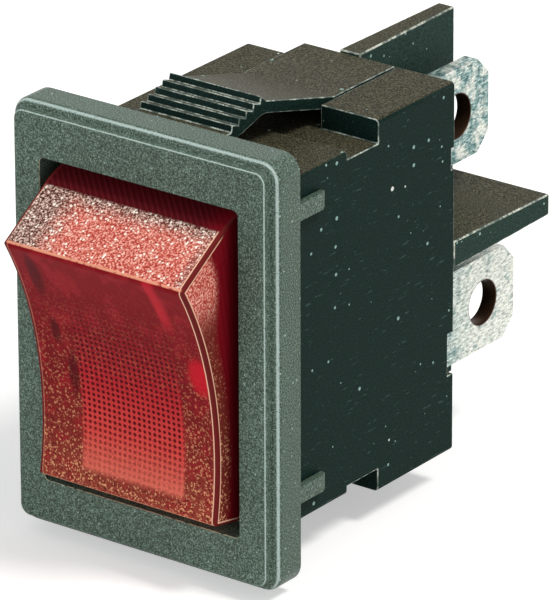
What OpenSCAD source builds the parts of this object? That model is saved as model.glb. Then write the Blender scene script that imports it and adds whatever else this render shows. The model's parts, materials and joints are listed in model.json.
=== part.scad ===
// Snap-in panel rocker switch, double pole, illuminated.
// Millimetres. The origin is the middle of the bezel's rear face, which bears on the panel.
// +X runs to the right and +Z up as the user sees the rocker, and +Y runs into the panel.
// The rocker lies with its lower end pressed in, so both upper contacts are closed.

/* [Bezel] */
// Width of the bezel
bezel_w = 15; // [14.6:0.1:17]
// Height of the bezel
bezel_h = 21; // [21:0.1:23]
// Depth of the bezel, from the panel to its front face
bezel_t = 2.2; // [2:0.05:2.8]
// Radius of the bezel's outer corners
bezel_r = 0.95; // [0.8:0.05:1.6]
// Depth of the plain outer edge behind the raised front
edge_t = 1.75; // [1.5:0.05:1.85]
// How far the raised front stands inside the outer edge
face_inset = 0.4; // [0.36:0.02:0.5]
// Rounding of the outer edge
shoulder_r = 0.35; // [0.15:0.05:0.36]
// Rounding of the raised front's edge
lip_r = 0.15; // [0.1:0.01:0.25]
// Depth of the seat behind the bezel that takes the housing's rim
rim_seat = 0.6; // [0.4:0.05:0.9]
// Width of a side tongue, up and down the switch
tongue_w = 0.85; // [0.6:0.05:1.2]
// Length of a side tongue behind the bezel
tongue_l = 3.5; // [2:0.1:4.5]
// How far a side tongue stands out from the housing
tongue_t = 0.42; // [0.3:0.02:0.5]
// Height of a side tongue's middle above the switch's middle
tongue_z = 6.95; // [5.5:0.05:7]

/* [Rocker] */
// Width of the rocker
rocker_w = 10.15; // [9.9:0.05:10.5]
// Angle of the rocker each way from level
rocker_tilt = 10.8; // [9:0.1:12]
// Distance of the rocker's pivot behind the panel's front
pivot_y = 1; // [0.8:0.05:1.3]
// Distance of the rocker's two crests in front of its pivot
crest_y = 5.55; // [5:0.05:6]
// Height of each crest above the rocker's middle
crest_z = 6.25; // [6:0.05:6.6]
// Depth of the hollow finger face between the crests
face_sag = 1.13; // [0.6:0.01:1.4]
// Slope of the rocker's end faces
end_angle = 21.6; // [18:0.1:23]
// Distance of the skirt's front edge in front of the pivot
knee = 2.2; // [1.8:0.05:2.8]
// Radius of the skirt that closes the aperture as the rocker turns
skirt_r = 7.85; // [7.6:0.05:7.9]
// Thickness of the rocker's walls
rocker_wall = 0.9; // [0.7:0.05:1]
// Rounding of the rocker's long edges
edge_r = 0.18; // [0.1:0.01:0.4]
// Rounding of the rocker's two crests
crest_r = 0.28; // [0.15:0.01:0.5]
// Radius of the rocker's trunnions
trunnion_r = 0.9; // [0.7:0.05:1]
// Width of the patterned light window inside the rocker
window_w = 5.8; // [4:0.1:6]
// Height of the light window
window_h = 6; // [4:0.1:6.2]
// Spacing of the light window's ribs
window_pitch = 0.6; // [0.5:0.05:1]

/* [Housing] */
// Depth of the housing behind the panel's front
body_d = 14; // [13.5:0.1:18]
// Thickness of the housing's side walls
side_wall = 0.6; // [0.5:0.05:0.9]
// Thickness of the housing's top and bottom walls beside the rocker
thin_wall = 0.5; // [0.45:0.05:0.8]
// Thickness of the top and bottom walls beside the contacts
thick_wall = 1.2; // [1.05:0.05:1.5]
// Rise of the rear blocks and latch roots above the top and bottom walls
block_rise = 0.75; // [0.5:0.05:0.9]
// Distance of the rear blocks behind the panel's front
block_y = 8; // [7:0.1:9]
// Rounding of the housing's long edges
body_r = 0.2; // [0.1:0.05:0.3]
// Drop of the lower floor in front of each rear block
floor_drop = 0.4; // [0.2:0.05:0.5]
// Length of that lower floor
floor_l = 2.4; // [1:0.1:3]

// Height of the larger notch in the side walls' rear edges
notch_h = 2.1; // [1:0.1:2.4]
// Depth of that notch
notch_d = 0.45; // [0.2:0.05:0.5]

/* [Snap latches] */
// Width of a latch arm
latch_w = 5.2; // [4:0.1:6]
// Thickness of a latch arm
latch_t = 0.6; // [0.45:0.05:0.7]
// Gap beside and under a latch arm
latch_gap = 0.15; // [0.1:0.05:0.2]
// Distance of the latch's highest ridge behind the panel's front
ridge_y = 3.65; // [3.4:0.05:4.5]
// Height of that ridge above the switch's middle
ridge_z = 11; // [10.8:0.05:11.2]
// Distance of the latch's bend behind the panel's front
bend_y = 9.2; // [8.6:0.1:10]
// Length of the latch's root, from the housing's rear edge
root_l = 2.5; // [1.5:0.1:3.5]
// Number of ridges on a latch
ridges = 5; // [3:1:6]
// Step of the ridges along the switch
ridge_step = 0.54; // [0.4:0.01:0.56]
// Fall from one ridge to the next
ridge_fall = 0.18; // [0.1:0.01:0.25]
// Depth of the notch in front of each ridge
ridge_depth = 0.34; // [0.25:0.01:0.4]

/* [Terminal base] */
// Set-back of the base behind the housing's rear edge
base_setback = 0.4; // [0.2:0.05:0.6]
// Length of the barriers behind the housing
barrier_l = 7.8; // [6:0.1:12]
// Thickness of the upright barrier at its root
upright_t = 1.2; // [0.8:0.05:1.6]
// Thickness of the level barrier at its root
level_t = 1.35; // [1:0.05:1.6]
// Height of the level barrier above the switch's middle
level_z = 0.62; // [0.4:0.02:0.8]
// Rise of the upright barrier above the housing's blocks
upright_rise = 0.12; // [0:0.02:0.3]
// Draft of each barrier, root to tip
barrier_draft = 0.15; // [0.05:0.05:0.3]

/* [Terminals] */
// Width of a terminal tab
tab_w = 4.75; // [4.5:0.05:4.8]
// Thickness of a terminal tab
tab_t = 0.8; // [0.5:0.05:0.8]
// Length of a tab behind the housing
tab_l = 7.9; // [6.5:0.1:12]
// Radius of the hole in a tab
hole_r = 1.1; // [0.7:0.05:1.3]
// Distance of the hole from the tab's end
hole_back = 2.6; // [2.2:0.05:3]
// Cut of the tab's end corners
tab_chamfer = 0.9; // [0.5:0.05:1.2]
// Distance of each tab's middle from the rear bay's end, apart from their common rise
tab_inset = 2.75; // [2.6:0.05:3]
// Height of the tabs' common middle above the switch's middle
tab_mid = 0.48; // [0.3:0.02:0.6]
// Step from a tab's edge in to its narrower shank, inside the base
tab_step = 0.4; // [0.3:0.05:0.6]
// Distance of a lower tab's outer face from the switch's middle
lower_tab_x = 3.95; // [3.9:0.05:4.2]
// Distance of an upper tab's outer face from the switch's middle
upper_tab_x = 2.4; // [2.2:0.05:2.5]

/* [Contacts] */
// Distance of each contact bridge from the switch's middle
pole_x = 3.45; // [3.4:0.05:3.6]
// Distance of the bridges' pivots behind the panel's front
fulcrum_y = 9.1; // [8.8:0.05:9.3]
// Angle of a bridge each way from level
bridge_tilt = 7; // [5:0.5:8]
// Width of a contact bridge
bridge_w = 2.2; // [2:0.1:2.4]
// Thickness of a contact bridge
bridge_t = 0.6; // [0.5:0.05:0.7]
// Height of the contacts above the bridge's pivot
contact_z = 4.6; // [4.2:0.05:4.8]
// Length of a bridge's plain lower arm
lower_arm = 4; // [3:0.1:4.4]
// Radius of a contact's head
contact_r = 0.9; // [0.7:0.05:1]
// Height of a contact's head
contact_h = 0.35; // [0.25:0.05:0.45]
// Radius of the fulcrum's nose
nose_r = 0.3; // [0.25:0.01:0.35]
// Radius of a plunger
plunger_r = 0.75; // [0.6:0.05:0.8]
// Gap between a plunger and its bridge as the rocker passes level
plunger_gap = 0.1; // [0.05:0.05:0.2]
// Radius of the wire of a plunger's spring
wire_r = 0.11; // [0.08:0.01:0.14]
// Number of turns of a plunger's spring
turns = 4; // [3:1:5]

/* [Lamp] */
// Radius of the neon lamp
lamp_r = 1.4; // [1.1:0.05:1.5]
// Height of the lamp's axis below the switch's middle
lamp_drop = 3; // [2.6:0.1:3.4]
// Distance of the lamp's tip in front of the panel
lamp_front = 1.2; // [0.6:0.05:1.3]
// Distance of the lamp's seat behind the panel's front
lamp_seat = 5.2; // [4.5:0.1:5.6]
// Radius of the lamp's lead wires
lead_r = 0.2; // [0.15:0.01:0.25]
// Distance of the leads' first bend behind the lamp's seat
lead_back = 0.9; // [0.7:0.05:1.2]
// Distance of the leads' lower run below the lower tabs' middle
lead_drop = 1.6; // [1.3:0.05:1.8]
// Radius of the lamp's resistor
resistor_r = 0.6; // [0.5:0.05:0.7]
// Length of the lamp's resistor
resistor_l = 2.4; // [2:0.1:3]

/* [Clearances] */
// Gap between the rocker's skirt and the aperture's ends
end_gap = 0.15; // [0.12:0.01:0.3]
// Gap between the rocker's sides and the aperture
face_gap = 0.54; // [0.4:0.01:0.6]
// Gap between the rocker's sides and the housing
side_gap = 0.32; // [0.2:0.01:0.35]
// Gap between the rocker's skirt and the housing
sweep_gap = 0.15; // [0.1:0.05:0.25]
// Running clearance of pivots and plungers, on the radius
running = 0.04; // [0.02:0.01:0.06]
// Gap between moulded pieces that seat in each other
seat_gap = 0.03; // [0.01:0.01:0.05]

/* [Hidden] */
$fn = 64;
over = 0.5;          // how far a cut runs past the solid it cuts
sliver = 0.02;       // overlap that welds two shapes of one piece

// The housing grows around the rocker, and the bezel's aperture with it.
aperture_w = rocker_w + 2 * face_gap;
aperture_h = 2 * (skirt_r + end_gap);
aperture_r = 0.25;
cavity_w = rocker_w + 2 * side_gap;
body_w = cavity_w + 2 * side_wall;
cavity_h = 2 * (skirt_r + sweep_gap);
body_h = cavity_h + 2 * thin_wall;
rear_cavity_h = body_h - 2 * thick_wall;
sweep_d = pivot_y + skirt_r * sin(rocker_tilt) + 0.6;
block_z = body_h / 2 + block_rise;

// The rocker in its own level frame: pivot at the origin, finger face towards -Y.
face_r = (crest_z * crest_z + face_sag * face_sag) / (2 * face_sag);
face_y = -crest_y + face_sag - face_r;         // centre line of the finger face
front_wall = rocker_wall + 0.1;
boss_r = plunger_r + running + 0.36;
boss_back = 2.4;
plunger_tail = 0.9;                            // plunger's inner end, in front of the pivot
bore_end = -face_y - face_r - front_wall - 0.4;
plunger_reach = fulcrum_y - nose_r / 6 - bridge_t - plunger_gap - pivot_y;

// Contact heights follow from the bridge's tilt, so closed contacts always meet.
bridge_back = nose_r / 6;                      // bridge's rear face in front of its pivot line
apex_y = fulcrum_y + (contact_h - bridge_back) * cos(bridge_tilt) + contact_z * sin(bridge_tilt);
pad_y = apex_y + seat_gap + contact_h;
base_y = pad_y + tab_t;
shank_y = fulcrum_y + 3 * nose_r;
base_back = body_d - base_setback;
tab_end = body_d + tab_l;
blade_y = body_d + seat_gap;
shank_h = tab_w / 2 - tab_step;
tab_rise = rear_cavity_h / 2 - tab_inset;
barrier_end = body_d + barrier_l;
upper_tab_z = tab_mid + tab_rise;
lower_tab_z = tab_mid - tab_rise;
cup_wall = 0.35;
cup_depth = 1.2;

// ---- helpers -------------------------------------------------------------

// A rectangle with round corners, centred on the origin
module rounded(w, h, r) {
    square([w - 2 * r, h], center = true);
    square([w, h - 2 * r], center = true);
    for (x = [-1, 1], y = [-1, 1])
        translate([x * (w / 2 - r), y * (h / 2 - r)]) circle(r);
}

// A slab drawn in X and Z, from y0 to y1
module slab(y0, y1) {
    translate([0, y1, 0]) rotate([90, 0, 0]) linear_extrude(y1 - y0) children();
}

// A profile drawn in Y and Z, from x0 to x1
module across(x0, x1) {
    translate([x0, 0, 0]) rotate([90, 0, 90]) linear_extrude(x1 - x0) children();
}

// A box given by its two corners
module block(a, b) {
    translate(a) cube(b - a);
}

// A round bar along +Y, starting at y
module bar(r, y, l) {
    translate([0, y, 0]) rotate([-90, 0, 0]) cylinder(r = r, h = l);
}

// Children as drawn above, and once more below
module top_and_bottom() {
    children();
    mirror([0, 0, 1]) children();
}

// Children drawn for the right pole, moved to the named side
module pole(side) {
    if (side == "right") children();
    else mirror([1, 0, 0]) children();
}

// ---- bezel and housing -----------------------------------------------------

// Plate of thickness t in front of the panel, its front edge rounded by e
module pillow(w, h, r, e, t) {
    slab(e - t, 0) rounded(w, h, r);
    slab(-t, 0) rounded(w - 2 * e, h - 2 * e, r - e);
    for (x = [-1, 1]) translate([x * (w / 2 - e), e - t, 0])
        cylinder(r = e, h = h - 2 * r, center = true);
    for (z = [-1, 1]) translate([0, e - t, z * (h / 2 - e)]) rotate([0, 90, 0])
        cylinder(r = e, h = w - 2 * r, center = true);
    for (x = [-1, 1], z = [-1, 1]) translate([x * (w / 2 - r), e - t, z * (h / 2 - r)])
        rotate([90, 0, 0]) rotate_extrude() translate([r - e, 0]) circle(e);
}

module bezel_frame() {
    color("dimgray") difference() {
        union() {
            pillow(bezel_w, bezel_h, bezel_r, shoulder_r, edge_t);
            pillow(bezel_w - 2 * face_inset, bezel_h - 2 * face_inset, bezel_r - face_inset,
                lip_r, bezel_t);
            for (x = [-1, 1], z = [-1, 1]) side_tongue(x, z);
        }
        slab(-bezel_t - over, over) rounded(aperture_w, aperture_h, aperture_r);
        slab(-rim_seat, over) square([body_w, body_h] + 2 * seat_gap * [1, 1], center = true);
        // shallow relief behind each latch, short of the bezel's edge
        slab(-2 * latch_gap, over) square([latch_w + 4 * latch_gap, relief_h], center = true);
    }
}
relief_h = 2 * (ridge_z - (ridges - 1) * ridge_fall + 0.06);

// Side tongue that grips the housing's wall behind the bezel
module side_tongue(x, z) {
    inner = body_w / 2 + seat_gap;
    outer = body_w / 2 + tongue_t;
    taper = 0.3;
    translate([0, 0, z * tongue_z - tongue_w / 2]) linear_extrude(tongue_w)
        polygon([[x * inner, -sliver], [x * outer, -sliver],
            [x * outer, tongue_l - taper], [x * (outer - taper / 2), tongue_l], [x * inner, tongue_l]]);
}

// One latch arm: root, bend, rising arm and a falling row of ridges
function ridge(i) = [ridge_y - i * ridge_step, ridge_z - i * ridge_fall];
module latch_arm() {
    last = ridge(ridges - 1);
    foot = last[1] - ridge_depth;
    rise = ridge_z - ridge_depth - block_z;
    top = concat([[body_d, block_z], [bend_y, block_z], [ridge_y + 0.4, ridge_z - ridge_depth]],
        [for (i = [0 : ridges - 1]) each [ridge(i), ridge(i) - [0.08, ridge_depth]]],
        [[last[0] - 0.7, foot], [last[0] - 0.7, foot - latch_t + 0.1]]);
    under = [[last[0] + 0.7, foot - latch_t + 0.3], [ridge_y, ridge_z - ridge_depth - latch_t],
        [ridge_y + 0.4, ridge_z - ridge_depth - latch_t], [bend_y, block_z - latch_t],
        [body_d - root_l, block_z - latch_t], [body_d - root_l, body_h / 2 - sliver],
        [body_d, body_h / 2 - sliver]];
    across(-latch_w / 2, latch_w / 2) polygon(concat(top, under));
}

// Block beside each latch's root, its outer edge rounded
module rear_block() {
    x0 = latch_w / 2 + latch_gap;
    z0 = body_h / 2 - over;
    slab(block_y, body_d) {
        translate([x0, z0]) square([body_w / 2 - body_r - x0, block_z - z0]);
        translate([x0, z0]) square([body_w / 2 - x0, block_z - body_r - z0]);
        translate([body_w / 2 - body_r, block_z - body_r]) circle(body_r);
    }
}

module housing() {
    floor_y = block_y - floor_l;
    color("#23282a") difference() {
        union() {
            slab(-rim_seat, body_d) rounded(body_w, body_h, body_r);
            top_and_bottom() {
                rear_block();
                latch_arm();
            }
        }
        // front bay around the rocker, and rear bay for the contacts
        slab(-rim_seat - over, sweep_d) square([cavity_w, cavity_h], center = true);
        slab(0, body_d + over) square([cavity_w, rear_cavity_h], center = true);
        top_and_bottom() {
            // lower floor in front of the rear block
            block([latch_w / 2 + latch_gap, floor_y, body_h / 2 - floor_drop],
                [body_w / 2 + over, block_y, body_h / 2 + over / 4]);
            // pocket under the latch arm
            block([-latch_w / 2 - latch_gap, floor_y, body_h / 2 - floor_drop],
                [latch_w / 2 + latch_gap, body_d - root_l, body_h / 2 + sliver]);
        }
        // pivot bores
        rotate([0, 90, 0]) translate([0, pivot_y, -body_w / 2 - over])
            cylinder(r = trunnion_r + running, h = body_w + 2 * over);
        // notches of the rear edge, beside the tabs
        edge_notch(upper_tab_z + notch_d, notch_h / 2, notch_d / 2);
        edge_notch(lower_tab_z - notch_d / 2, notch_h, notch_d);
    }
}

// Shallow notch of both side walls' rear edges, around the height z
module edge_notch(z, h, d) {
    block([-body_w / 2 - over, body_d - d, z - h / 2], [body_w / 2 + over, body_d + over, z + h / 2]);
}

// ---- terminal base ---------------------------------------------------------

// Barrier plate seen along its width: thick at the root, drafted to the tip
module barrier(t) {
    tip = t / 2 - barrier_draft;
    polygon([[base_back - sliver, -t / 2], [base_back - sliver, t / 2],
        [barrier_end, tip], [barrier_end, -tip]]);
}

module terminal_base() {
    plug_w = cavity_w - 2 * seat_gap;
    plug_h = rear_cavity_h - 2 * seat_gap;
    behind = body_d + seat_gap;
    upright_z = block_z + upright_rise;
    color("#1d2224") difference() {
        union() {
            slab(base_y, base_back) square([plug_w, plug_h], center = true);
            translate([0, 0, -upright_z]) linear_extrude(2 * upright_z)
                rotate(90) mirror([0, 1]) barrier(upright_t);
            translate([0, 0, level_z]) across(-body_w / 2, body_w / 2) barrier(level_t);
            // post and cup of the lamp
            translate([0, 0, -lamp_drop]) bar(lamp_r + seat_gap + cup_wall, lamp_seat - cup_depth,
                base_y - lamp_seat + cup_depth + sliver);
        }
        // barriers clear the housing's walls, which they pass behind
        for (z = [-1, 1]) translate([0, (base_y + behind) / 2, z * (plug_h / 2 + upright_z)])
            cube([body_w, behind - base_y, 2 * upright_z], center = true);
        for (x = [-1, 1]) translate([x * (plug_w / 2 + body_w), (base_y + behind) / 2, level_z])
            cube([2 * body_w, behind - base_y, level_t + over], center = true);
        translate([0, 0, -lamp_drop]) bar(lamp_r + seat_gap, lamp_seat - cup_depth - over,
            cup_depth + over);
        for (side = ["right", "left"]) pole(side) {
            tab_slot(upper_tab_x, upper_tab_z);
            tab_slot(lower_tab_x, lower_tab_z);
        }
        // way down for the lamp's leads through the foot of its cup
        block([-lead_x - 2 * lead_r, lamp_seat - seat_gap, lead_z - over],
            [lead_x + 2 * lead_r, lead_y + 2 * lead_r, 2 * lead_r - lamp_drop]);
    }
}

module tab_slot(x, z) {
    block([x - tab_t - seat_gap, base_y - over, z - shank_h - seat_gap],
        [x + seat_gap, base_back + over, z + shank_h + seat_gap]);
}

// ---- terminals and contacts ------------------------------------------------

// Tab from the base to its chamfered end, with its hole
module tab(x, z) {
    h = tab_w / 2;
    translate([0, 0, z]) difference() {
        across(x - tab_t, x) polygon([[base_y, -shank_h], [blade_y, -shank_h], [blade_y, -h],
            [tab_end - tab_chamfer, -h], [tab_end, -h + tab_chamfer], [tab_end, h - tab_chamfer],
            [tab_end - tab_chamfer, h], [blade_y, h], [blade_y, shank_h], [base_y, shank_h]]);
        translate([x - tab_t - over, tab_end - hole_back, 0]) rotate([0, 90, 0])
            cylinder(r = hole_r, h = tab_t + 2 * over);
    }
}

// Fixed-contact terminal: its inner end is folded out into a pad
module terminal_upper() {
    pad_top = contact_z + contact_r + 0.35;
    pad_foot = contact_z - contact_r - 0.35;
    difference() {
        union() {
            tab(upper_tab_x, upper_tab_z);
            block([upper_tab_x - tab_t, pad_y, pad_foot],
                [pole_x + contact_r + 0.3, base_y, pad_top]);
            block([upper_tab_x - tab_t, base_y - sliver, pad_foot],
                [upper_tab_x, base_y + sliver, pad_top]);
        }
        translate([pole_x, 0, contact_z]) bar(contact_r / 2 + seat_gap / 2, pad_y - over, 2);
    }
}

// Common terminal: its inner end rises to the nose that carries the bridge
module terminal_lower() {
    tab(lower_tab_x, lower_tab_z);
    across(lower_tab_x - tab_t, lower_tab_x) {
        polygon([[fulcrum_y, -nose_r], [fulcrum_y + nose_r, -nose_r], [shank_y, -3 * nose_r],
            [shank_y, lower_tab_z - shank_h], [base_y + sliver, lower_tab_z - shank_h],
            [base_y + sliver, lower_tab_z + shank_h], [base_y - seat_gap, lower_tab_z + shank_h],
            [base_y - seat_gap, 3 * nose_r], [shank_y, 3 * nose_r],
            [fulcrum_y + nose_r, nose_r], [fulcrum_y, nose_r]]);
        translate([fulcrum_y, 0]) circle(nose_r);
    }
}

module terminal_upper_right() { color("gainsboro") terminal_upper(); }
module terminal_upper_left() { color("gainsboro") pole("left") terminal_upper(); }
module terminal_lower_right() { color("gainsboro") terminal_lower(); }
module terminal_lower_left() { color("gainsboro") pole("left") terminal_lower(); }

// Riveted contact: shank in its hole, flat head in front
module fixed_contact(side) {
    color("silver") pole(side) translate([pole_x, 0, contact_z]) {
        bar(contact_r, apex_y + seat_gap, contact_h);
        bar(contact_r / 2, pad_y - sliver, tab_t + sliver);
    }
}

// Children drawn on a level bridge, tilted to the closed position
module on_bridge(side) {
    pole(side) translate([pole_x, fulcrum_y, 0]) rotate([-bridge_tilt, 0, 0]) children();
}

module bridge(side) {
    front = -bridge_back - bridge_t;
    top = contact_z + contact_r + 0.3;
    color("#c9a15a") on_bridge(side) difference() {
        across(-bridge_w / 2, bridge_w / 2) difference() {
            polygon([[front, -lower_arm], [-bridge_back, -lower_arm], [-bridge_back, top],
                [front, top]]);
            circle(nose_r + running);
        }
        translate([0, 0, contact_z]) bar(contact_r / 2 + seat_gap / 2, front - over,
            bridge_t + 2 * over);
    }
}

// Moving contact: shank through the bridge, crowned head behind it
module bridge_contact(side) {
    crown = 2;
    color("silver") on_bridge(side) translate([0, 0, contact_z]) {
        intersection() {
            bar(contact_r, -bridge_back, contact_h + over);
            translate([0, contact_h - bridge_back - crown, 0]) sphere(crown);
        }
        bar(contact_r / 2, -bridge_back - bridge_t, bridge_t + sliver);
    }
}

// ---- rocker and plungers ---------------------------------------------------

// Children drawn on a level rocker, turned to its rest position
module on_rocker() {
    translate([0, pivot_y, 0]) rotate([rocker_tilt, 0, 0]) children();
}

// Side view of the cap, grown inwards by w: sloping ends, skirt and hollow face
module cap_profile(w, front) {
    slope = tan(end_angle);
    foot = crest_z + crest_y * slope - w / cos(end_angle);
    reach = crest_y + 1;
    difference() {
        union() {
            polygon([[-reach, foot - reach * slope], [-knee, foot - knee * slope],
                [-knee, knee * slope - foot], [-reach, reach * slope - foot]]);
            intersection() {
                circle(skirt_r - w);
                translate([-knee - sliver, -skirt_r]) square([skirt_r, 2 * skirt_r]);
            }
        }
        translate([face_y, 0]) circle(face_r + front, $fn = 180);
    }
}

// Sharp corner at the upper crest, to be taken away
module crest_corner() {
    translate([-crest_y, crest_z]) rotate(end_angle) difference() {
        translate([-over, -crest_r]) square([crest_r + over, crest_r + over]);
        translate([crest_r, -crest_r]) circle(crest_r);
    }
}

// Block whose two long edges towards the front are rounded
module eased(w, y0, y1, l) {
    h = w / 2;
    translate([0, 0, -l]) linear_extrude(2 * l) {
        translate([-h, y0 + edge_r]) square([w, y1 - y0 - edge_r]);
        translate([-h + edge_r, y0]) square([w - 2 * edge_r, y1 - y0]);
        for (x = [-1, 1]) translate([x * (h - edge_r), y0 + edge_r]) circle(edge_r);
    }
}

// Ring about the finger face's centre line that rounds the face's long edges
module eased_face() {
    h = rocker_w / 2;
    r0 = face_r - 0.03;
    translate([0, face_y, 0]) rotate([0, -90, 0]) rotate([0, 0, 45]) rotate_extrude(angle = 90, $fn = 180) {
        translate([r0 + edge_r, -h]) square([2 * crest_y, rocker_w]);
        translate([r0, -h + edge_r]) square([2 * crest_y, rocker_w - 2 * edge_r]);
        for (x = [-1, 1]) translate([r0 + edge_r, x * (h - edge_r)]) circle(edge_r);
    }
}

// Block that rounds the long edges of the upper end face
module eased_end() {
    translate([0, -crest_y, crest_z]) rotate([end_angle, 0, 0]) rotate([-90, 0, 0])
        eased(rocker_w, 0, 3 * crest_z, 2 * crest_z);
}

module rocker_cap() {
    h = rocker_w / 2;
    back = 0.2;
    ear = trunnion_r + 0.8;
    intersection() {
        across(-h, h) difference() {
            intersection() {
                cap_profile(0, 0);
                union() {
                    translate([-crest_y - over, -skirt_r - over])
                        square([crest_y + over - back, 2 * (skirt_r + over)]);
                    circle(ear);
                }
            }
            crest_corner();
            mirror([0, 1]) crest_corner();
        }
        eased_face();
        eased_end();
        mirror([0, 0, 1]) eased_end();
    }
}

// Fine ribs inside the lower half of the finger face, where the lamp shines through
module window_ribs() {
    rib = 0.2;
    z0 = -window_h - 0.6;
    y0 = face_y + face_r + front_wall;
    intersection() {
        translate([0, y0 - over, z0 + window_h / 2]) union() {
            for (i = [0 : floor(window_w / window_pitch)])
                translate([(i - window_w / window_pitch / 2) * window_pitch, 0, 0])
                    cube([rib, face_sag + 2 * over, window_h], center = true);
            for (i = [0 : floor(window_h / window_pitch)])
                translate([0, 0, (i - window_h / window_pitch / 2) * window_pitch])
                    cube([window_w, face_sag + 2 * over, rib], center = true);
        }
        across(-window_w, window_w) difference() {
            translate([face_y, 0]) circle(face_r + front_wall + 0.15, $fn = 180);
            translate([face_y, 0]) circle(face_r + front_wall - sliver, $fn = 180);
        }
    }
}

module rocker() {
    inner = rocker_w / 2 - rocker_wall;
    color("#a01820", 0.85) on_rocker() difference() {
        union() {
            difference() {
                rocker_cap();
                across(-inner, inner) cap_profile(rocker_wall, front_wall);
            }
            intersection() {
                for (x = [-1, 1]) translate([x * pole_x, 0, 0]) bar(boss_r, -crest_y, crest_y + boss_back);
                across(-inner - sliver, inner + sliver) difference() {
                    square(4 * crest_y, center = true);
                    translate([face_y, 0]) circle(face_r + front_wall - sliver, $fn = 180);
                }
            }
            window_ribs();
            rotate([0, 90, 0]) for (x = [-1, 1]) mirror([0, 0, x < 0 ? 1 : 0])
                translate([0, 0, rocker_w / 2 - sliver])
                    cylinder(r = trunnion_r, h = side_gap + side_wall - seat_gap + sliver);
        }
        for (x = [-1, 1]) translate([x * pole_x, 0, 0])
            bar(plunger_r + running, -bore_end, bore_end + boss_back + over);
    }
}

// Plunger: plain pin with a round nose that rides on the bridge
module plunger(side) {
    color("ivory") pole(side) on_rocker() translate([pole_x, 0, 0]) {
        bar(plunger_r, -plunger_tail, plunger_tail + plunger_reach - plunger_r);
        translate([0, plunger_reach - plunger_r, 0]) sphere(plunger_r);
    }
}

// Round wire along a helix about +Y, from y0 to y1
module coil(r, y0, y1) {
    sides = 6;
    steps = 16 * turns;
    centre = [for (i = [0 : steps]) let (a = 360 * i / 16)
        [r * cos(a), y0 + wire_r + (y1 - y0 - 2 * wire_r) * i / steps, r * sin(a)]];
    points = [for (i = [0 : steps], s = [0 : sides - 1]) let (a = 360 * i / 16, b = 360 * s / sides)
        centre[i] + wire_r * [cos(b) * cos(a), sin(b), cos(b) * sin(a)]];
    quads = [for (i = [0 : steps - 1], s = [0 : sides - 1]) let (n = (s + 1) % sides)
        each [[i * sides + s, i * sides + n, (i + 1) * sides + n],
            [i * sides + s, (i + 1) * sides + n, (i + 1) * sides + s]]];
    ends = [[for (s = [sides - 1 : -1 : 0]) s], [for (s = [0 : sides - 1]) steps * sides + s]];
    polyhedron(points, concat(quads, ends));
}

module plunger_spring(side) {
    color("lightsteelblue") pole(side) on_rocker() translate([pole_x, 0, 0])
        coil(plunger_r - wire_r - 0.1, -bore_end, -plunger_tail);
}

// ---- lamp ------------------------------------------------------------------

module neon_lamp() {
    color("#ff9060", 0.6) translate([0, 0, -lamp_drop]) {
        bar(lamp_r, lamp_r - lamp_front, lamp_seat - lamp_r + lamp_front);
        translate([0, lamp_r - lamp_front, 0]) sphere(lamp_r);
    }
}

// Square way of a lead: back from the lamp, down, back again and out to the common terminal
lead_x = lamp_r / 2;
lead_y = lamp_seat + lead_back;
lead_z = lower_tab_z - lead_drop;
land_y = (shank_y + base_y) / 2;
resistor_y = (lead_y + land_y - resistor_l) / 2;

// A length of lead from a to b, along one axis, with a rounded start
module wire(a, b) {
    d = b - a;
    translate(a) {
        sphere(lead_r);
        rotate(d[0] != 0 ? [0, 90, 0] : d[1] != 0 ? [-90, 0, 0] : [180, 0, 0])
            cylinder(r = lead_r, h = norm(d));
    }
}

module lead_down() {
    translate([0, 0, -lamp_drop]) translate([lead_x, 0, 0]) bar(lead_r, lamp_seat, lead_y - lamp_seat);
    wire([lead_x, lead_y, -lamp_drop], [lead_x, lead_y, lead_z]);
}

module lead_out() {
    wire([lead_x, land_y, lead_z], [lower_tab_x - tab_t, land_y, lead_z]);
}

module lamp_lead_right() {
    color("silver") {
        lead_down();
        wire([lead_x, lead_y, lead_z], [lead_x, resistor_y, lead_z]);
    }
}

module lamp_lead_left() {
    color("silver") pole("left") {
        lead_down();
        wire([lead_x, lead_y, lead_z], [lead_x, land_y, lead_z]);
        lead_out();
    }
}

// Series resistor: body with a raised band at each end
module lamp_resistor() {
    band = resistor_l / 4;
    color("#c8b088") translate([lead_x, 0, lead_z]) {
        bar(resistor_r - 0.08, resistor_y, resistor_l);
        bar(resistor_r, resistor_y, band);
        bar(resistor_r, resistor_y + resistor_l - band, band);
    }
}

module resistor_lead() {
    tail = resistor_y + resistor_l;
    color("silver") {
        translate([lead_x, 0, lead_z]) bar(lead_r, tail, land_y - tail);
        lead_out();
    }
}

bezel_frame();
housing();
terminal_base();
rocker();
terminal_upper_right();
terminal_upper_left();
terminal_lower_right();
terminal_lower_left();
fixed_contact("right");  // fixed_contact_right
fixed_contact("left");  // fixed_contact_left
bridge("right");  // bridge_right
bridge("left");  // bridge_left
bridge_contact("right");  // bridge_contact_right
bridge_contact("left");  // bridge_contact_left
plunger("right");  // plunger_right
plunger("left");  // plunger_left
plunger_spring("right");  // plunger_spring_right
plunger_spring("left");  // plunger_spring_left
neon_lamp();
lamp_lead_right();
lamp_lead_left();
lamp_resistor();
resistor_lead();
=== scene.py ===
# %% [markdown]
# # A lit rocker switch for a panel
# The real object is a double pole rocker switch that snaps into a rectangular hole in a panel.
# A grey-green bezel frames a translucent red rocker, a black housing with a springy latch stands
# behind it, and four tinned tabs leave the back between two black barriers.
# The solids come from the CAD model and already have the right size and place. This lesson gives
# each of them the rounded corners, grain, dust and wear that make it read as a real moulding.

# %% Load the frame
import json
from math import cos, pi, radians, sin

import bpy
from mathutils import Matrix, Vector


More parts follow.
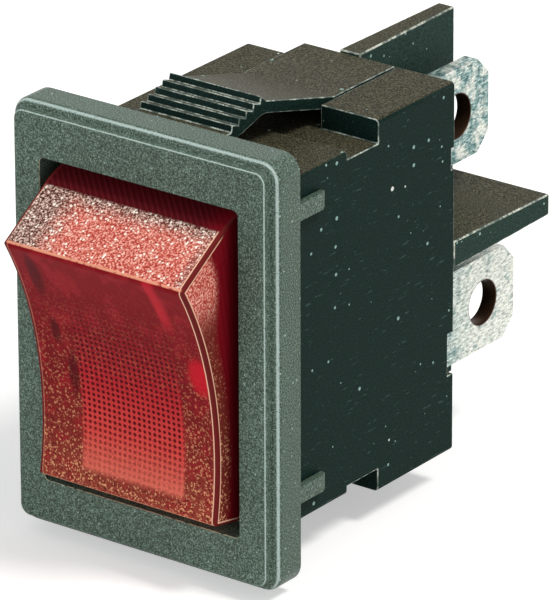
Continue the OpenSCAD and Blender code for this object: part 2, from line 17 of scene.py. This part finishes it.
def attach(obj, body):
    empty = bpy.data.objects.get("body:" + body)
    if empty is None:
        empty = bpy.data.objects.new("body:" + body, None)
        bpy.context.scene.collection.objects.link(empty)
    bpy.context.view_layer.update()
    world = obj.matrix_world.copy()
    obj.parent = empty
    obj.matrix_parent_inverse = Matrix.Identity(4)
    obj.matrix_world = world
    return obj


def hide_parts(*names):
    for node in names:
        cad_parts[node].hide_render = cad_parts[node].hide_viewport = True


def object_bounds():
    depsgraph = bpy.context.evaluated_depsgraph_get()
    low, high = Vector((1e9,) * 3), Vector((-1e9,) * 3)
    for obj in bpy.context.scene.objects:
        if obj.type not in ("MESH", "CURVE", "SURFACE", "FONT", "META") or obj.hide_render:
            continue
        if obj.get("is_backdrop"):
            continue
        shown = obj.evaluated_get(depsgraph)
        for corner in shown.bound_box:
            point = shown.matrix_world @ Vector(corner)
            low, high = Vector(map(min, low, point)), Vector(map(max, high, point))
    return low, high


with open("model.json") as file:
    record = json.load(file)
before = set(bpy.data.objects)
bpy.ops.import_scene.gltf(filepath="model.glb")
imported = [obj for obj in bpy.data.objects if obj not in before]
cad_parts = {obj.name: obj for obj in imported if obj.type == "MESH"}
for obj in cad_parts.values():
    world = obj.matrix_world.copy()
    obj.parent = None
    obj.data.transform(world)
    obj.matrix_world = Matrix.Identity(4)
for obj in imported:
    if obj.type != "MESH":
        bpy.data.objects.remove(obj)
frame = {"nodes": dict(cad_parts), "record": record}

bpy.ops.object.select_all(action="DESELECT")
cad_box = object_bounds()
body_of = {node: body for body, nodes in frame["record"]["behaviour"]["bodies"].items() for node in nodes}

# %% [markdown]
# ## The camera
# A catalogue picture of a part this small is taken from far away with a long lens, so edges that
# run into the picture stay almost parallel. The camera therefore stands a third of a metre away,
# to the right of the rocker and above it, and looks just behind the bezel.

# %% Camera
AZIMUTH, ELEVATION, ROLL, DISTANCE = radians(37.003), radians(22.798), radians(-0.344), 0.33485
aim = Vector((0, 0.005, 0))
away = Vector((sin(AZIMUTH) * cos(ELEVATION), -cos(AZIMUTH) * cos(ELEVATION), sin(ELEVATION)))
bpy.ops.object.camera_add(location=aim + away * DISTANCE)
camera = bpy.context.object
camera.rotation_euler = (
    (-away).to_track_quat("-Z", "Y").to_matrix() @ Matrix.Rotation(ROLL, 3, "Z")).to_euler()
camera.data.lens = 436.47
camera.data.shift_x = 0.0686
camera.data.shift_y = -0.00235
camera.data.clip_start = 0.01
bpy.context.scene.camera = camera
print("camera stands", round(DISTANCE * 1000), "mm away")

# %% [markdown]
# ## Floor and light
# The switch stands on a plain white sheet. The sheet shows white to the camera and in glossy
# plastic, but it lights the switch only as white paper would, and it keeps the soft shadow.
# One soft sun from the upper right lights the tops and the right side, a weaker one fills the front,
# and an even white sky does the rest, so that a colour renders about as written.

# %% Floor
low = cad_box[0][2]
bpy.ops.mesh.primitive_plane_add(size=3, location=(0, 0, low - 0.00002))
floor = bpy.context.object
floor.name = "floor"
floor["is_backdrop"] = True
paper = bpy.data.materials.new("white paper")
paper.use_nodes = True
floor.data.materials.append(paper)


def add(finish, kind, inputs=None, **settings):
    """Adds a shader node. An input is a value, or the output of another node."""
    node = finish.node_tree.nodes.new("ShaderNode" + kind)
    for name, value in settings.items():
        setattr(node, name, value)
    for name, value in (inputs or {}).items():
        if isinstance(value, bpy.types.NodeSocket):
            finish.node_tree.links.new(value, node.inputs[name])
        else:
            node.inputs[name].default_value = value
    return node


def calc(finish, operation, a, b=0.0):
    """One sum on two numbers or outputs."""
    return add(finish, "Math", {0: a, 1: b}, operation=operation).outputs[0]


def times(finish, first, *others):
    """Numbers or outputs multiplied."""
    for other in others:
        first = calc(finish, "MULTIPLY", first, other)
    return first


def plus(finish, first, *others):
    """Numbers or outputs added."""
    for other in others:
        first = calc(finish, "ADD", first, other)
    return first


def seen_rays(finish):
    """1 for rays from the camera, and for those that gloss or glass sends on."""
    path = add(finish, "LightPath").outputs
    seen = plus(finish, path["Is Camera Ray"], path["Is Glossy Ray"], path["Is Transmission Ray"])
    return calc(finish, "MINIMUM", seen, 1.0)


sheet = paper.node_tree.nodes["Principled BSDF"]
sheet.inputs["Base Color"].default_value = (0.8, 0.8, 0.8, 1)
sheet.inputs["Roughness"].default_value = 0.9
sheet.inputs["Specular IOR Level"].default_value = 0.0
sheet.inputs["Emission Color"].default_value = (1, 1, 1, 1)
paper.node_tree.links.new(times(paper, seen_rays(paper), 0.45), sheet.inputs["Emission Strength"])
print("the floor lies at", round(low * 1000, 2), "mm")

# %% Sky and lamps
SKY_LIGHT = 0.4
sky = bpy.data.worlds.new("white studio")
bpy.context.scene.world = sky
sky.use_nodes = True
sky.node_tree.links.new(
    plus(sky, times(sky, seen_rays(sky), 1 - SKY_LIGHT), SKY_LIGHT),
    sky.node_tree.nodes["Background"].inputs["Strength"])
sky.node_tree.nodes["Background"].inputs["Color"].default_value = (1, 1, 1, 1)


def lamp(name, power, softness, towards, tint):
    """A sun that shines from a direction, given as a point beside the object."""
    bpy.ops.object.light_add(type="SUN")
    sun = bpy.context.object
    sun.name = name
    sun.data.energy = power
    sun.data.angle = softness
    sun.data.color = tint
    sun.rotation_euler = Vector(towards).to_track_quat("Z", "Y").to_euler()


lamp("key from the upper right", 1.8, 0.25, (0.5, 0.05, 0.85), (1.0, 0.98, 0.94))
lamp("fill from the front", 0.8, 0.6, (-0.2, -1.0, 0.25), (0.97, 1.0, 1.0))
bpy.context.scene.view_settings.view_transform = "Standard"

# %% [markdown]
# ## Tools for finishes
# Every finish is one Principled shader. Its colour and its bumps come from noise that is measured
# in millimetres on the piece itself, so a grain of 0.1 mm stays 0.1 mm from any side and when the
# piece moves. A few small helpers keep the recipes short enough to read.

# %% Helpers for colours and patterns
def colour(red, green, blue):
    """Turns the 0 to 255 values of a colour picker into the values that a shader reads."""
    return tuple((c / 255 / 12.92) if c < 11 else ((c / 255 + 0.055) / 1.055) ** 2.4
                 for c in (red, green, blue)) + (1.0,)


def new_finish(name, **values):
    """A material with one Principled shader; each value is set on the shader's own socket."""
    finish = bpy.data.materials.new(name)
    finish.use_nodes = True
    shader = finish.node_tree.nodes["Principled BSDF"]
    for socket, value in values.items():
        shader.inputs[socket.replace("_", " ")].default_value = value
    return finish


def in_mm(finish, turn=0.0, pivot=(0, 0, 0)):
    """Places on the piece in millimetres, turned back about X for a piece that lies tilted."""
    place = add(finish, "TexCoord").outputs["Object"]
    return add(finish, "Mapping", {"Vector": place, "Location": pivot, "Rotation": (turn, 0, 0),
                                   "Scale": (0.001, 0.001, 0.001)}, vector_type="TEXTURE").outputs[0]


def apart(finish, vector):
    """The three numbers of a place or a direction."""
    return add(finish, "SeparateXYZ", {"Vector": vector}).outputs


def grain(finish, where, size, detail=2.0, rough=0.55, stretch=(1, 1, 1)):
    """Soft noise with grains of about this size, in millimetres."""
    if stretch != (1, 1, 1):
        where = add(finish, "Mapping", {"Vector": where, "Scale": stretch}).outputs[0]
    return add(finish, "TexNoise", {"Vector": where, "Scale": 1 / size, "Detail": detail,
                                    "Roughness": rough}).outputs["Fac"]


def specks(finish, where, spacing, size, share):
    """Small round dots: one in a share of the cells of this spacing, each up to this size."""
    cell = add(finish, "TexVoronoi", {"Vector": where, "Scale": 1 / spacing})
    chosen = add(finish, "SeparateColor", {"Color": cell.outputs["Color"]}).outputs
    near = calc(finish, "LESS_THAN", cell.outputs["Distance"],
                times(finish, chosen["Green"], size / spacing))
    return times(finish, near, calc(finish, "GREATER_THAN", chosen["Red"], 1 - share))


def rise(finish, value, start, end):
    """Goes smoothly from 0 to 1 as the value goes from start to end."""
    return add(finish, "MapRange", {"Value": value, "From Min": start, "From Max": end},
               interpolation_type="SMOOTHSTEP").outputs["Result"]


def ramp(finish, value, *stops):
    """Colours along a value: each stop is a place and a colour."""
    node = add(finish, "ValToRGB", {"Fac": value})
    for i, (place, tone) in enumerate(stops):
        stop = node.color_ramp.elements[i] if i < 2 else node.color_ramp.elements.new(place)
        stop.position, stop.color = place, tone
    return node.outputs["Color"]


def mix(finish, amount, under, over, how="MIX"):
    """Lays one colour over another."""
    node = add(finish, "Mix", {0: amount, 6: under, 7: over}, data_type="RGBA", blend_type=how)
    return node.outputs[2]


def wear(finish, tone, rough=None, bumps=None, height=0.01, strength=0.5):
    """Joins colour, roughness and bumps (their height in millimetres) to the shader."""
    shader = finish.node_tree.nodes["Principled BSDF"]
    join = finish.node_tree.links.new
    join(tone, shader.inputs["Base Color"])
    if rough is not None:
        join(rough, shader.inputs["Roughness"])
    if bumps is not None:
        bump = add(finish, "Bump", {"Height": bumps, "Strength": strength, "Distance": height / 1000})
        join(bump.outputs[0], shader.inputs["Normal"])
    return finish


print("a mid grey is", round(colour(128, 128, 128)[0], 3), "to the shader")

# %% [markdown]
# ## From solid to piece
# A CAD solid arrives as loose triangles with perfectly sharp edges, and nothing real looks so.
# Its copy is merged, its flat faces are cleaned of their triangles, and a Bevel modifier rounds
# what is left of the corners. Each piece could be built again from a box, but the copy keeps the
# exact sizes. On the mouldings the rounding gets a second material, which paints a pale highlight
# on parts of it.

# %% Helper that dresses a solid
CORNER = radians(32)
SMOOTH = radians(40)
FLAT = radians(0.5)
ROUNDING_STEPS = 2


def dress(node, finish, rounding=0.0, rounding_highlight=None):
    """A copy of one solid with clean faces, rounded corners (in millimetres) and a finish."""
    bpy.ops.object.select_all(action="DESELECT")
    piece = bpy.data.objects.new(node + "_moulded", frame["nodes"][node].data.copy())
    bpy.context.collection.objects.link(piece)
    piece.select_set(True)
    bpy.context.view_layer.objects.active = piece
    piece.data.materials.clear()
    piece.data.materials.append(finish)
    bpy.ops.mesh.customdata_custom_splitnormals_clear()
    bpy.ops.object.mode_set(mode="EDIT")
    bpy.ops.mesh.select_all(action="SELECT")
    bpy.ops.mesh.remove_doubles(threshold=1e-7)
    bpy.ops.mesh.dissolve_limited(angle_limit=FLAT)
    bpy.ops.object.mode_set(mode="OBJECT")
    if rounding:
        bpy.ops.object.modifier_add(type="BEVEL")
        bevel = piece.modifiers[-1]
        bevel.width = rounding / 1000
        bevel.segments = ROUNDING_STEPS
        bevel.limit_method = "ANGLE"
        bevel.angle_limit = CORNER
        bevel.use_clamp_overlap = False
        # The second material paints a pale highlight on the rounding.
        if rounding_highlight:
            piece.data.materials.append(rounding_highlight)
            bevel.material = 1
        bpy.ops.object.modifier_apply(modifier=bevel.name)
    bpy.ops.object.shade_smooth_by_angle(angle=SMOOTH)
    bpy.ops.object.modifier_add(type="WEIGHTED_NORMAL")
    piece.modifiers[-1].keep_sharp = True
    bpy.ops.object.modifier_apply(modifier=piece.modifiers[-1].name)
    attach(piece, body_of[node])
    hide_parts(node)
    print(node, "has", len(piece.data.polygons), "faces")
    return piece


# %% [markdown]
# ## Bezel
# The bezel is a grey-green thermoplastic from a spark-eroded mould, so its skin is an even matt
# grain of less than a tenth of a millimetre, with lighter and darker flecks. The same noise lifts the
# surface a few microns. A pale highlight is painted on the raised shoulder where it faces up or right,
# and a cream highlight is painted on the rounded edge round the opening where it faces up or right.

# %% Grey-green skin
def moulded_green(name):
    """Matt grey-green plastic, with how far it faces up or right and how far it faces the user."""
    finish = new_finish(name, Roughness=0.38, Specular_IOR_Level=0.2)
    where = in_mm(finish)
    fine = grain(finish, where, 0.075, detail=3.0, rough=0.7)
    skin = ramp(finish, fine, (0.34, colour(36, 52, 44)), (0.5, colour(78, 95, 83)),
                (0.66, colour(140, 166, 152)))
    cloudy = ramp(finish, grain(finish, where, 3.0), (0.3, (0.86, 0.88, 0.88, 1)), (0.7, (1, 1, 1, 1)))
    skin = mix(finish, 1.0, skin, cloudy, "MULTIPLY")
    skin = mix(finish, specks(finish, where, 0.3, 0.06, 0.25), skin, colour(160, 186, 172))
    right, back, up = apart(finish, add(finish, "TexCoord").outputs["Normal"])
    lit = rise(finish, calc(finish, "MAXIMUM", right, up), 0.3, 0.6)
    return finish, where, fine, skin, lit, times(finish, back, -1.0)


green, where, fine, skin, lit, front = moulded_green("matt grey-green plastic")
# Painted highlight: the shoulder turns pale where it faces up or right, broken up by the grain.
shoulder = times(green, rise(green, front, 0.4, 0.6), rise(green, front, 0.88, 0.72), lit,
                 rise(green, fine, 0.2, 0.5))
wear(green, mix(green, shoulder, skin, colour(182, 202, 196)), bumps=fine, height=0.02)
print("the shoulder is polished where it faces up or right")

# %% Painted highlight round the opening, and the bezel
OPENING_HALF_WIDTH, OPENING_HALF_HEIGHT = 6.0, 8.4
opening_highlight, where, fine, skin, lit, _ = moulded_green("painted highlight round the opening")
x, _, z = apart(opening_highlight, where)
# Painted highlight: the rounded edge of the opening turns cream where it faces up or right, broken up by noise.
opening = times(
    opening_highlight, rise(opening_highlight, calc(opening_highlight, "ABSOLUTE", x), OPENING_HALF_WIDTH + 0.1, OPENING_HALF_WIDTH - 0.1),
    rise(opening_highlight, calc(opening_highlight, "ABSOLUTE", z), OPENING_HALF_HEIGHT + 0.1, OPENING_HALF_HEIGHT - 0.1))
broken = rise(opening_highlight, grain(opening_highlight, where, 0.35, detail=3.0), 0.36, 0.5)
wear(opening_highlight, mix(opening_highlight, times(opening_highlight, lit, opening, broken), skin, colour(226, 222, 190)),
     bumps=fine, height=0.02)
dress("bezel_frame", green, rounding=0.06, rounding_highlight=opening_highlight)

# %% [markdown]
# ## Housing and terminal base
# Both are black nylon. It is never quite black: the skin has a blue-green cast, what faces up is
# lighter and brownish, partly from dust and partly as painted light from above, and a few pale grains
# and hair scratches lie on the sides. The corners carry a painted pale highlight, broken up along its length.

# %% Black plastic with dust and painted top light, and its painted corner highlights
def black_plastic(name, tone):
    """Near-black plastic with dust and painted light on top, specks and fine scratches."""
    finish = new_finish(name, Roughness=0.42, Specular_IOR_Level=0.03)
    where = in_mm(finish)
    fine = grain(finish, where, 0.08, detail=3.0, rough=0.65)
    skin = ramp(finish, fine, (0.36, colour(*[c * 0.7 for c in tone])), (0.5, colour(*tone)),
                (0.66, colour(*[c * 1.35 for c in tone])))
    top_dust_and_light = ramp(finish, fine, (0.36, colour(26, 24, 16)), (0.5, colour(66, 63, 49)),
                 (0.66, colour(120, 116, 92)))
    up = apart(finish, add(finish, "TexCoord").outputs["Normal"])[2]
    # Dust and painted light: what faces up is mixed towards a lighter brown.
    skin = mix(finish, times(finish, rise(finish, up, 0.6, 0.95), 0.9), skin, top_dust_and_light)
    hairs = rise(finish, grain(finish, where, 0.09, stretch=(1, 0.12, 0.9)), 0.66, 0.74)
    skin = mix(finish, times(finish, hairs, 0.35), skin, colour(96, 126, 120))
    skin = mix(finish, specks(finish, where, 0.6, 0.10, 0.3), skin, colour(150, 185, 178))
    skin = mix(finish, specks(finish, where, 1.3, 0.13, 0.35), skin, colour(235, 240, 232))
    return wear(finish, skin, bumps=fine, height=0.02, strength=0.4)


def painted_edge_highlight(name, under, pale):
    """A corner with a painted pale highlight, broken up along its length."""
    finish = new_finish(name, Roughness=0.4, Specular_IOR_Level=0.4)
    where = in_mm(finish)
    broken = rise(finish, grain(finish, where, 0.5, detail=4.0), 0.40, 0.6)
    flecks = rise(finish, grain(finish, where, 0.1), 0.3, 0.55)
    return wear(finish, mix(finish, times(finish, broken, flecks), colour(*under), colour(*pale)))


# Both pieces get a painted pale highlight on their rounded corners.
dress("housing", black_plastic("black housing plastic", (23, 42, 38)),
      rounding=0.045, rounding_highlight=painted_edge_highlight("painted highlight on housing corners", (70, 88, 82), (205, 216, 205)))
dress("terminal_base", black_plastic("black base plastic", (42, 62, 56)),
      rounding=0.07, rounding_highlight=painted_edge_highlight("painted highlight on base corners", (80, 96, 88), (225, 230, 215)))

# %% [markdown]
# ## Rocker
# The rocker is one moulding of translucent red plastic. Its finger face is polished at the top and
# finely grained lower down, its sloping ends are rough with painted sparkle, the sides fade from that
# roughness to a dark red that is painted shade in the gap behind the bezel, and the skirt behind the
# ends is smooth and darker, partly painted shade of the bezel. It could be many materials on many
# faces, but a real moulding changes finish by place, so one material is painted by place.
# The places are in the rocker's own frame, turned back by the angle at which it rests.

# %% Rocker's own frame
REST = radians(10.8)
PIVOT = (0, 0.001, 0)
FACE_CENTRE, FACE_RADIUS, HALF_WIDTH = -22.27, 17.85, 5.075
CREST_HEIGHT = 6.25
red = new_finish("translucent red plastic", Roughness=0.3, Specular_IOR_Level=0.03, IOR=1.5)
where = in_mm(red, REST, PIVOT)
across, depth, height = apart(red, where)
beside = calc(red, "ABSOLUTE", across)
tall = calc(red, "ABSOLUTE", height)
fine = grain(red, where, 0.10, rough=0.6)
coarse = grain(red, where, 0.9)
print("the rocker rests", round(REST * 180 / pi, 1), "degrees from level")

# %% Finger face: clear red above, brown-pink with gold grains below
upright = calc(red, "DIVIDE", plus(red, height, 8.0), 16.0)
face = ramp(red, upright, (0.0, colour(90, 14, 20)), (0.10, colour(160, 72, 58)),
            (0.26, colour(138, 50, 44)), (0.46, colour(124, 26, 32)), (0.9, colour(134, 16, 26)))
face = mix(red, times(red, rise(red, coarse, 0.45, 0.65), 0.5), face, colour(168, 36, 46))
gold = ramp(red, upright, (0.1, colour(244, 178, 130)), (0.9, colour(190, 90, 70)))
crowd = rise(red, height, 7.0, -6.5)
dots = times(red, specks(red, where, 0.11, 0.085, 0.75), times(red, crowd, rise(red, fine, 0.62, 0.46)))
face = mix(red, times(red, dots, 0.8), face, gold)
face = mix(red, times(red, rise(red, fine, 0.52, 0.66), times(red, crowd, 0.8)), face, colour(84, 20, 22))
print("the finger face is hollow to a radius of", FACE_RADIUS, "mm")

# %% Painted light and shade seen through the face: dark shadow patches, a red glow and a bright streak
def soft_spot(x, z, wide, high):
    """A soft spot on the finger face, 1 at its middle."""
    off_x = calc(red, "DIVIDE", calc(red, "SUBTRACT", across, x), wide)
    off_z = calc(red, "DIVIDE", calc(red, "SUBTRACT", height, z), high)
    return rise(red, plus(red, times(red, off_x, off_x), times(red, off_z, off_z)), 1.0, 0.1)


painted_shadow_spots = ((-3.64, 1.35, 0.35, 0.9), (-2.95, -0.8, 0.4, 1.4), (-3.9, 4.6, 0.5, 1.6))
# Painted shadow: dark patches on the finger face.
for spot in painted_shadow_spots:
    face = mix(red, times(red, soft_spot(*spot), 0.75), face, colour(72, 14, 20))
# Painted glow: a brighter red spot, as light shining through the plastic.
face = mix(red, times(red, soft_spot(4.5, 1.0, 0.8, 1.3), 0.9), face, colour(206, 26, 44))
# Painted light: a bright slanting streak.
slant = plus(red, across, times(red, height, 0.12))
painted_light_streak = times(red, rise(red, slant, 3.35, 3.6), rise(red, slant, 4.3, 3.8), rise(red, height, 2.8, 4.2))
face = mix(red, times(red, painted_light_streak, 0.6), face, colour(214, 44, 58))
print("dark spots:", len(painted_shadow_spots))

# %% [markdown]
# ### Light window
# Inside the face a small square lattice spreads the light of the lamp. Seen through the plastic it
# is a grid of dark pits between bright bars, which fades out towards the top: the bars are painted
# bright as light coming through, and the pits painted dark as shade. Two sine waves that cross give
# such a grid, and adding some coarse noise makes the pits unequal.

# %% Lattice of the light window
PITCH, WINDOW_MIDDLE, WINDOW_HALF = 0.285, 0.3, 2.9


def wave(line):
    """A sine along one direction of the lattice."""
    return calc(red, "SINE", times(red, line, 2 * pi / PITCH))


off_middle = calc(red, "ABSOLUTE", calc(red, "SUBTRACT", across, WINDOW_MIDDLE))
inside = rise(red, off_middle, WINDOW_HALF + 0.12, WINDOW_HALF - 0.12)
window = times(red, inside, times(red, rise(red, height, -5.55, -5.2), rise(red, height, 3.8, -2.6)))
# Painted light: the bars are brightest low down.
lit_bars = ramp(red, calc(red, "DIVIDE", plus(red, height, 7.0), 10.0), (0.12, colour(236, 124, 104)),
            (0.36, colour(226, 78, 72)), (0.62, colour(198, 44, 52)), (1.0, colour(160, 36, 44)))
lit_bars = mix(red, times(red, rise(red, fine, 0.5, 0.62), 0.35), lit_bars, colour(150, 40, 44))
face = mix(red, window, face, lit_bars)
pits = rise(red, plus(red, wave(across), wave(height), times(red, coarse, 0.8)), 0.35, 1.5)
# Painted shade: the pits darken to a deep red.
pit_shade = times(red, times(red, inside, pits), times(red, rise(red, height, -6.6, -2.2), rise(red, height, 4.6, 0.6)))
face = mix(red, times(red, pit_shade, 0.95), face, colour(76, 8, 18))
print("the lattice has a pitch of", PITCH, "mm")

# %% [markdown]
# ### Ends, skirt and sides
# The rough ends scatter the light, salmon in the middle and grey where no light comes from inside.
# The skirt shows fine slanting ribs in a darker red that is partly painted shade of the bezel, and the sides lose
# their grain and darken away from the finger face, as painted shade in the gap behind the bezel.

# %% Ends and skirt
END_RISE, END_FOOT, END_BACK = 0.3959, 8.447, -2.25
rough_end = ramp(red, fine, (0.36, colour(168, 58, 50)), (0.48, colour(214, 96, 84)),
                 (0.64, colour(252, 196, 178)))
grey_end = ramp(red, fine, (0.38, colour(60, 26, 24)), (0.5, colour(150, 108, 96)),
                (0.64, colour(244, 220, 208)))
left_part = rise(red, plus(red, across, times(red, coarse, 1.6)), -1.3, -2.9)
back_part = rise(red, plus(red, depth, times(red, coarse, 0.8)), -2.9, -1.9)
right_part = times(red, rise(red, across, 4.2, 4.7), 0.6)
greyness = calc(red, "MAXIMUM", calc(red, "MAXIMUM", left_part, back_part), right_part)
ends = mix(red, greyness, rough_end, grey_end)
# Painted glints: near-white specks on the rough ends.
ends = mix(red, specks(red, where, 0.14, 0.085, 0.3), ends, colour(255, 244, 232))
ribs = rise(red, wave(times(red, plus(red, across, depth), 0.8)), -0.3, 1.0)
# The skirt's dark red is partly its clear plastic and partly painted shade of the bezel.
skirt = mix(red, times(red, ribs, 0.5), colour(84, 18, 24), colour(118, 34, 42))
skirt = mix(red, times(red, rise(red, across, 3.4, 5.0), 0.6), skirt, colour(140, 14, 30))
ends = mix(red, rise(red, depth, END_BACK - 0.1, END_BACK + 0.1), ends, skirt)
tone = mix(red, rise(red, tall, CREST_HEIGHT - 0.05, CREST_HEIGHT + 0.05), face, ends)
print("the skirt starts", -END_BACK, "mm in front of the pivot")

# %% Sides
from_centre = calc(red, "SUBTRACT", depth, FACE_CENTRE)
from_face = calc(red, "SUBTRACT", calc(red, "SQRT", plus(
    red, calc(red, "POWER", from_centre, 2.0), calc(red, "POWER", height, 2.0))), FACE_RADIUS)
side = mix(red, dots, colour(118, 44, 38), colour(236, 170, 130))
side = mix(red, rise(red, height, 3.0, 5.4), side, rough_end)
# Painted shade: from about 1 mm behind the face the side turns the skirt's dark red, as in the gap behind the
# bezel.
depth_into_gap = calc(red, "SUBTRACT", from_face, times(red, rise(red, height, 2.0, 6.5), 1.4))
side = mix(red, rise(red, depth_into_gap, 0.55, 1.15), side, skirt)
print("the sides are clear from about 1 mm behind the face")

# %% [markdown]
# ### Bright corners
# Each long corner of the rocker is rounded, and the two borders of that rounding catch the light as
# thin cream lines with a dark strip between them. They are too fine for a lamp to draw reliably, so
# they are painted where the rounding begins and ends.

# %% Thin bright lines along the rounded corners, and the rocker
ROUNDED = 0.2
end_plane = calc(red, "SUBTRACT", plus(red, END_FOOT, times(red, depth, END_RISE)), tall)
from_end = times(red, end_plane, 0.93)


def line(value, middle, wide):
    """1 within a thin band round one value."""
    return rise(red, calc(red, "ABSOLUTE", calc(red, "SUBTRACT", value, middle)), wide, wide * 0.4)


near_corner = calc(red, "MINIMUM", from_face, from_end)
cream, dark_strip = colour(250, 196, 166), colour(112, 34, 34)
rounded = times(red, rise(red, depth, -2.1, -2.5), rise(red, across, -9.0, 5.0))
tone = mix(red, rise(red, beside, HALF_WIDTH - 0.195, HALF_WIDTH - 0.155), tone, dark_strip)
tone = mix(red, times(red, line(beside, HALF_WIDTH - 0.205, 0.045), rounded), tone, cream)
side = mix(red, rise(red, near_corner, ROUNDED + 0.04, ROUNDED - 0.04), side, dark_strip)
side = mix(red, times(red, line(near_corner, ROUNDED, 0.045), rounded), side, cream)
tone = mix(red, rise(red, beside, HALF_WIDTH - 0.045, HALF_WIDTH - 0.015), tone, side)
crest = times(red, line(tall, CREST_HEIGHT + 0.02, 0.07), rise(red, beside, 5.0, 4.9))
crest = times(red, crest, rise(red, grain(red, where, 0.3), 0.3, 0.5))
tone = mix(red, crest, tone, colour(240, 160, 130))
polished = times(red, rise(red, height, -2.5, 1.0), rise(red, tall, CREST_HEIGHT + 0.1, CREST_HEIGHT - 0.1))
wear(red, tone, rough=calc(red, "SUBTRACT", 0.5, times(red, polished, 0.28)), bumps=fine, height=0.02)
dress("rocker", red)

# %% [markdown]
# ## Tabs
# The four tabs are stamped from brass strip and tinned. Tin is soft, bright and a little milky,
# scuffed along the length of the tab, and it is darker blue-green in patches, near the body and on the upper tabs.
# The bore of the punched hole is painted dark brown as shade.

# %% Tinned brass
tin = new_finish("tinned brass", Metallic=0.8, Roughness=0.35)
where = in_mm(tin)
_, along, up_tab = apart(tin, where)
scuffs = grain(tin, where, 0.12, detail=4.0, rough=0.7, stretch=(1, 0.35, 1))
patches = grain(tin, where, 0.8, detail=4.0, rough=0.65)
bright = ramp(tin, scuffs, (0.34, colour(140, 150, 146)), (0.5, colour(222, 226, 216)),
              (0.65, colour(252, 252, 244)))
blue_green = ramp(tin, scuffs, (0.38, colour(50, 84, 84)), (0.52, colour(128, 164, 162)),
               (0.64, colour(220, 232, 226)))
near_body = rise(tin, plus(tin, along, times(tin, patches, 6.0)), 21.5, 18.5)
blue_green_share = calc(tin, "MAXIMUM", times(tin, rise(tin, patches, 0.52, 0.66), 0.6), near_body)
upper = rise(tin, up_tab, 0.5, 1.0)
blue_green_share = calc(tin, "MAXIMUM", blue_green_share, times(tin, upper, rise(tin, patches, 0.38, 0.56)))
plate = mix(tin, blue_green_share, bright, blue_green)
print("the tin is stained near the body and on the upper tabs")

# %% Holes, and the four tabs
HOLE_Y, LOWER_HOLE_Z, UPPER_HOLE_Z, HOLE_RADIUS = 19.3, -4.07, 5.03, 1.1
hole_z = calc(tin, "SUBTRACT", up_tab, plus(tin, LOWER_HOLE_Z, times(tin, upper, UPPER_HOLE_Z - LOWER_HOLE_Z)))
hole_y = calc(tin, "SUBTRACT", along, HOLE_Y)
reach = calc(tin, "SQRT", plus(tin, times(tin, hole_z, hole_z), times(tin, hole_y, hole_y)))
# Painted shade: the bore of each hole is dark brown.
plate = mix(tin, rise(tin, reach, HOLE_RADIUS + 0.1, HOLE_RADIUS + 0.02), plate, colour(74, 52, 38))
wear(tin, plate, rough=plus(tin, 0.28, times(tin, scuffs, 0.3)), bumps=scuffs, height=0.02, strength=0.4)
SIDES = ("right", "left")
for level in ("upper", "lower"):
    for hand in SIDES:
        dress(f"terminal_{level}_{hand}", tin, rounding=0.05)

# %% [markdown]
# ## Works inside
# Behind the rocker sit two brass bridges with silver contacts, nylon plungers on springs, and a small
# neon lamp with its leads and resistor. They are seldom seen, but each keeps the finish of its kind.

# %% Metals of the works
def plain_metal(name, dark, light, rough):
    """A metal with fine drawn or tumbled marks."""
    finish = new_finish(name, Metallic=1.0, Roughness=rough)
    marks = grain(finish, in_mm(finish), 0.1, detail=4.0)
    tone = ramp(finish, marks, (0.35, colour(*dark)), (0.65, colour(*light)))
    return wear(finish, tone, bumps=marks, height=0.01, strength=0.3)


silver = plain_metal("contact silver", (176, 176, 170), (238, 238, 232), 0.3)
brass = plain_metal("bridge brass", (150, 116, 58), (222, 188, 112), 0.32)
steel = plain_metal("spring steel", (110, 114, 118), (196, 200, 204), 0.28)
wire = plain_metal("tinned lead wire", (150, 150, 146), (226, 226, 220), 0.3)
for hand in SIDES:
    dress(f"fixed_contact_{hand}", silver, rounding=0.04)
    dress(f"bridge_contact_{hand}", silver, rounding=0.04)
    dress(f"bridge_{hand}", brass, rounding=0.04)
    dress(f"plunger_spring_{hand}", steel)
for part in ("lamp_lead_right", "lamp_lead_left", "resistor_lead"):
    dress(part, wire)

# %% [markdown]
# ### Nylon, glass and lacquer
# The plungers are natural nylon, which lets a little light in, so they get some subsurface. The lamp
# is clear glass with a faint cloud, and the resistor wears a tan lacquer with a thin gloss coat.

# %% Plungers, lamp and resistor
nylon = new_finish("plunger nylon", Roughness=0.45, Subsurface_Weight=0.15, Subsurface_Scale=0.0005)
fine = grain(nylon, in_mm(nylon), 0.15, detail=3.0)
wear(nylon, ramp(nylon, fine, (0.35, colour(205, 198, 178)), (0.65, colour(236, 231, 216))), bumps=fine)
glass = new_finish("lamp glass", Roughness=0.04, Transmission_Weight=0.9, IOR=1.5)
cloud = grain(glass, in_mm(glass), 1.2)
wear(glass, ramp(glass, cloud, (0.35, colour(250, 226, 206)), (0.65, colour(255, 244, 232))),
     bumps=cloud, strength=0.2)
lacquer = new_finish("resistor lacquer", Roughness=0.35, Coat_Weight=0.3)
fine = grain(lacquer, in_mm(lacquer), 0.2, detail=3.0)
wear(lacquer, ramp(lacquer, fine, (0.35, colour(176, 146, 104)), (0.65, colour(206, 178, 134))), bumps=fine)
for hand in SIDES:
    dress(f"plunger_{hand}", nylon, rounding=0.05)
dress("neon_lamp", glass)
dress("lamp_resistor", lacquer)

# %% [markdown]
# ## Last look
# The dressed pieces must fill the same box as the solids, so the largest change between the two boxes is printed.

# %% Size
dressed_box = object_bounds()
change = max(abs(a - b) for p, q in zip(cad_box, dressed_box) for a, b in zip(p, q))
print("the box changed by at most", round(change * 1e6), "microns")
